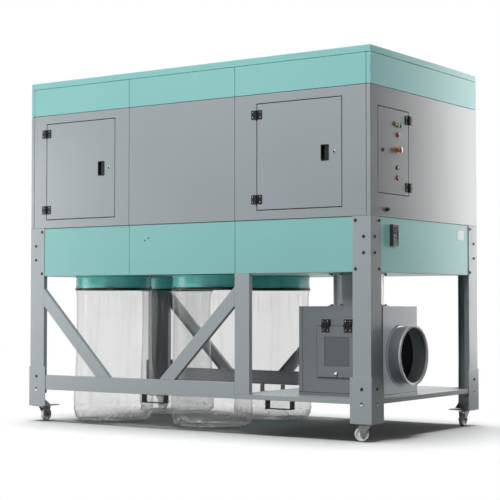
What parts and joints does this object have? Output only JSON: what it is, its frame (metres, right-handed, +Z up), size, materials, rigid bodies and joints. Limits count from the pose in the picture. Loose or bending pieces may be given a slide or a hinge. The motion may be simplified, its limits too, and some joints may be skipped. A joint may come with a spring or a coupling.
{
  "type": "baghouse dust collector",
  "caption": "Sheet steel filter housing on a leg frame with casters, clear dust bags below and a round inlet on a side shelf.",
  "frame": {"origin": "under the middle of the whole object, at floor level", "axes": "+X along the long front towards the inlet end, +Y from the door side to the rear, +Z up"},
  "size_m": [2.6764, 1.3853, 2.24],
  "materials": {
    "teal_paint": "semi-gloss mint green paint",
    "grey_paint": "semi-gloss light grey paint",
    "frame_paint": "satin grey paint",
    "dark_paint": "satin black paint",
    "zinc_steel": "bright zinc plating",
    "white_nylon": "white moulded nylon",
    "black_plastic": "black moulded plastic",
    "red_plastic": "glossy red plastic",
    "green_plastic": "glossy green plastic",
    "orange_plastic": "glossy orange plastic",
    "clear_film": "clear polythene film"
  },
  "bodies": {
    "housing": {"roof_cap": "teal_paint", "upper_band": "teal_paint", "lower_band": "teal_paint", "hopper_floor": "teal_paint", "bag_collars": "teal_paint", "front_panel_left": "grey_paint", "front_panel_middle": "grey_paint", "front_panel_right": "grey_paint", "rear_panels": "grey_paint", "end_panel_left": "grey_paint", "end_panel_right": "grey_paint", "control_enclosure": "zinc_steel", "hinge_leaves": "black_plastic", "display_unit": "black_plastic", "end_fittings": "black_plastic", "bag_clamps": "black_plastic", "front_legs": "frame_paint", "rear_legs": "frame_paint", "leg_feet": "frame_paint", "bottom_beams": "frame_paint", "mid_posts": "frame_paint", "front_braces": "frame_paint", "rear_braces": "frame_paint", "shelf": "frame_paint", "fork_guides": "dark_paint", "inlet_box": "frame_paint", "inlet_spigot": "frame_paint", "riser_duct": "frame_paint", "dust_bag_1": "clear_film", "dust_bag_2": "clear_film", "dust_bag_3": "clear_film", "dust_bag_4": "clear_film"},
    "door_left": {"door_left": "grey_paint", "door_left_fittings": "black_plastic"},
    "door_right": {"door_right": "grey_paint", "door_right_fittings": "black_plastic"},
    "control_door": {"control_door": "grey_paint", "control_door_fittings": "black_plastic", "red_lamps": "red_plastic", "green_lamps": "green_plastic"},
    "start_button": {"start_button": "green_plastic"},
    "stop_button": {"stop_button": "red_plastic"},
    "emergency_button": {"emergency_button": "orange_plastic"},
    "inlet_hatch": {"inlet_hatch": "frame_paint", "hatch_fittings": "black_plastic"},
    "caster_fork_front_left": {"caster_fork_front_left": "zinc_steel"},
    "caster_wheel_front_left": {"caster_wheel_front_left": "white_nylon"},
    "caster_fork_front_right": {"caster_fork_front_right": "zinc_steel"},
    "caster_wheel_front_right": {"caster_wheel_front_right": "white_nylon"},
    "caster_fork_rear_left": {"caster_fork_rear_left": "zinc_steel"},
    "caster_wheel_rear_left": {"caster_wheel_rear_left": "white_nylon"},
    "caster_fork_rear_right": {"caster_fork_rear_right": "zinc_steel"},
    "caster_wheel_rear_right": {"caster_wheel_rear_right": "white_nylon"}
  },
  "joints": [
    {"name": "door_left_hinge", "type": "hinge", "parent": "housing", "child": "door_left", "pos_m": [-1.19435, -0.68665, 1.644], "axis": [0, 0, -1], "range_deg": [0, 120]},
    {"name": "door_right_hinge", "type": "hinge", "parent": "housing", "child": "door_right", "pos_m": [0.49115, -0.68665, 1.644], "axis": [0, 0, -1], "range_deg": [0, 120]},
    {"name": "control_door_hinge", "type": "hinge", "parent": "housing", "child": "control_door", "pos_m": [1.27415, -0.22915, 1.6535], "axis": [0, 0, 1], "range_deg": [0, 110]},
    {"name": "hatch_hinge", "type": "hinge", "parent": "housing", "child": "inlet_hatch", "pos_m": [0.94415, -0.52415, 0.6465], "axis": [-1, 0, 0], "range_deg": [0, 100]},
    {"name": "start_button_press", "type": "slide", "parent": "control_door", "child": "start_button", "axis": [-1, 0, 0], "range_m": [0, 0.004], "stiffness_N_per_m": 300, "springref_m": -0.002},
    {"name": "stop_button_press", "type": "slide", "parent": "control_door", "child": "stop_button", "axis": [-1, 0, 0], "range_m": [0, 0.004], "stiffness_N_per_m": 300, "springref_m": -0.002},
    {"name": "emergency_button_press", "type": "slide", "parent": "control_door", "child": "emergency_button", "axis": [-1, 0, 0], "range_m": [0, 0.006], "stiffness_N_per_m": 300, "springref_m": -0.002},
    {"name": "swivel_front_left", "type": "hinge", "parent": "housing", "child": "caster_fork_front_left", "pos_m": [-1.27385, -0.61865, 0.09], "axis": [0, 0, 1], "continuous": true},
    {"name": "wheel_front_left", "type": "hinge", "parent": "caster_fork_front_left", "child": "caster_wheel_front_left", "pos_m": [-1.27385, -0.58665, 0.04], "axis": [-1, 0, 0], "continuous": true},
    {"name": "swivel_front_right", "type": "hinge", "parent": "housing", "child": "caster_fork_front_right", "pos_m": [1.20615, -0.61865, 0.09], "axis": [0, 0, 1], "continuous": true},
    {"name": "wheel_front_right", "type": "hinge", "parent": "caster_fork_front_right", "child": "caster_wheel_front_right", "pos_m": [1.17994, -0.637, 0.04], "axis": [0.5736, -0.8192, 0], "continuous": true},
    {"name": "swivel_rear_left", "type": "hinge", "parent": "housing", "child": "caster_fork_rear_left", "pos_m": [-1.27385, 0.62835, 0.09], "axis": [0, 0, 1], "continuous": true},
    {"name": "wheel_rear_left", "type": "hinge", "parent": "caster_fork_rear_left", "child": "caster_wheel_rear_left", "pos_m": [-1.24185, 0.62835, 0.04], "axis": [0, 1, 0], "continuous": true},
    {"name": "swivel_rear_right", "type": "hinge", "parent": "housing", "child": "caster_fork_rear_right", "pos_m": [1.20615, 0.62835, 0.09], "axis": [0, 0, 1], "continuous": true},
    {"name": "wheel_rear_right", "type": "hinge", "parent": "caster_fork_rear_right", "child": "caster_wheel_rear_right", "pos_m": [1.20615, 0.59635, 0.04], "axis": [1, 0, 0], "continuous": true}
  ]
}
